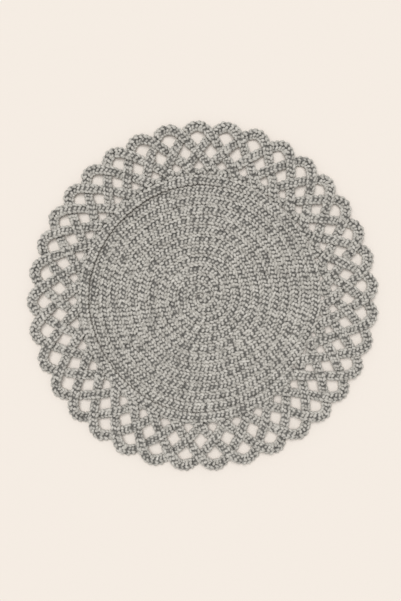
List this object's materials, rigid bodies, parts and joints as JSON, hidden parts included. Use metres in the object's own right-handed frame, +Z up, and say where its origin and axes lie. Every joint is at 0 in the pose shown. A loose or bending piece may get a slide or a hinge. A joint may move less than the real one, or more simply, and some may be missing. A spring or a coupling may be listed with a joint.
{
  "type": "knitted placemat",
  "caption": "Round knitted table mat: a flat coiled cord centre inside an open border of interlaced knitted cords, with a scalloped edge. It protects a table under a plate.",
  "frame": {"origin": "middle of the mat's outline on the surface that it lies on", "axes": "+Z up, away from the surface; +X and +Y in the mat's plane, +Y towards the top of the reference view"},
  "size_m": [0.3806, 0.3796, 0.0115],
  "materials": {
    "knitted_yarn": "matte grey melange knitted yarn"
  },
  "bodies": {
    "root": {"centre_coil": "knitted_yarn", "border_cord_1": "knitted_yarn", "border_cord_2": "knitted_yarn", "border_cord_3": "knitted_yarn", "border_cord_4": "knitted_yarn"}
  },
  "joints": []
}
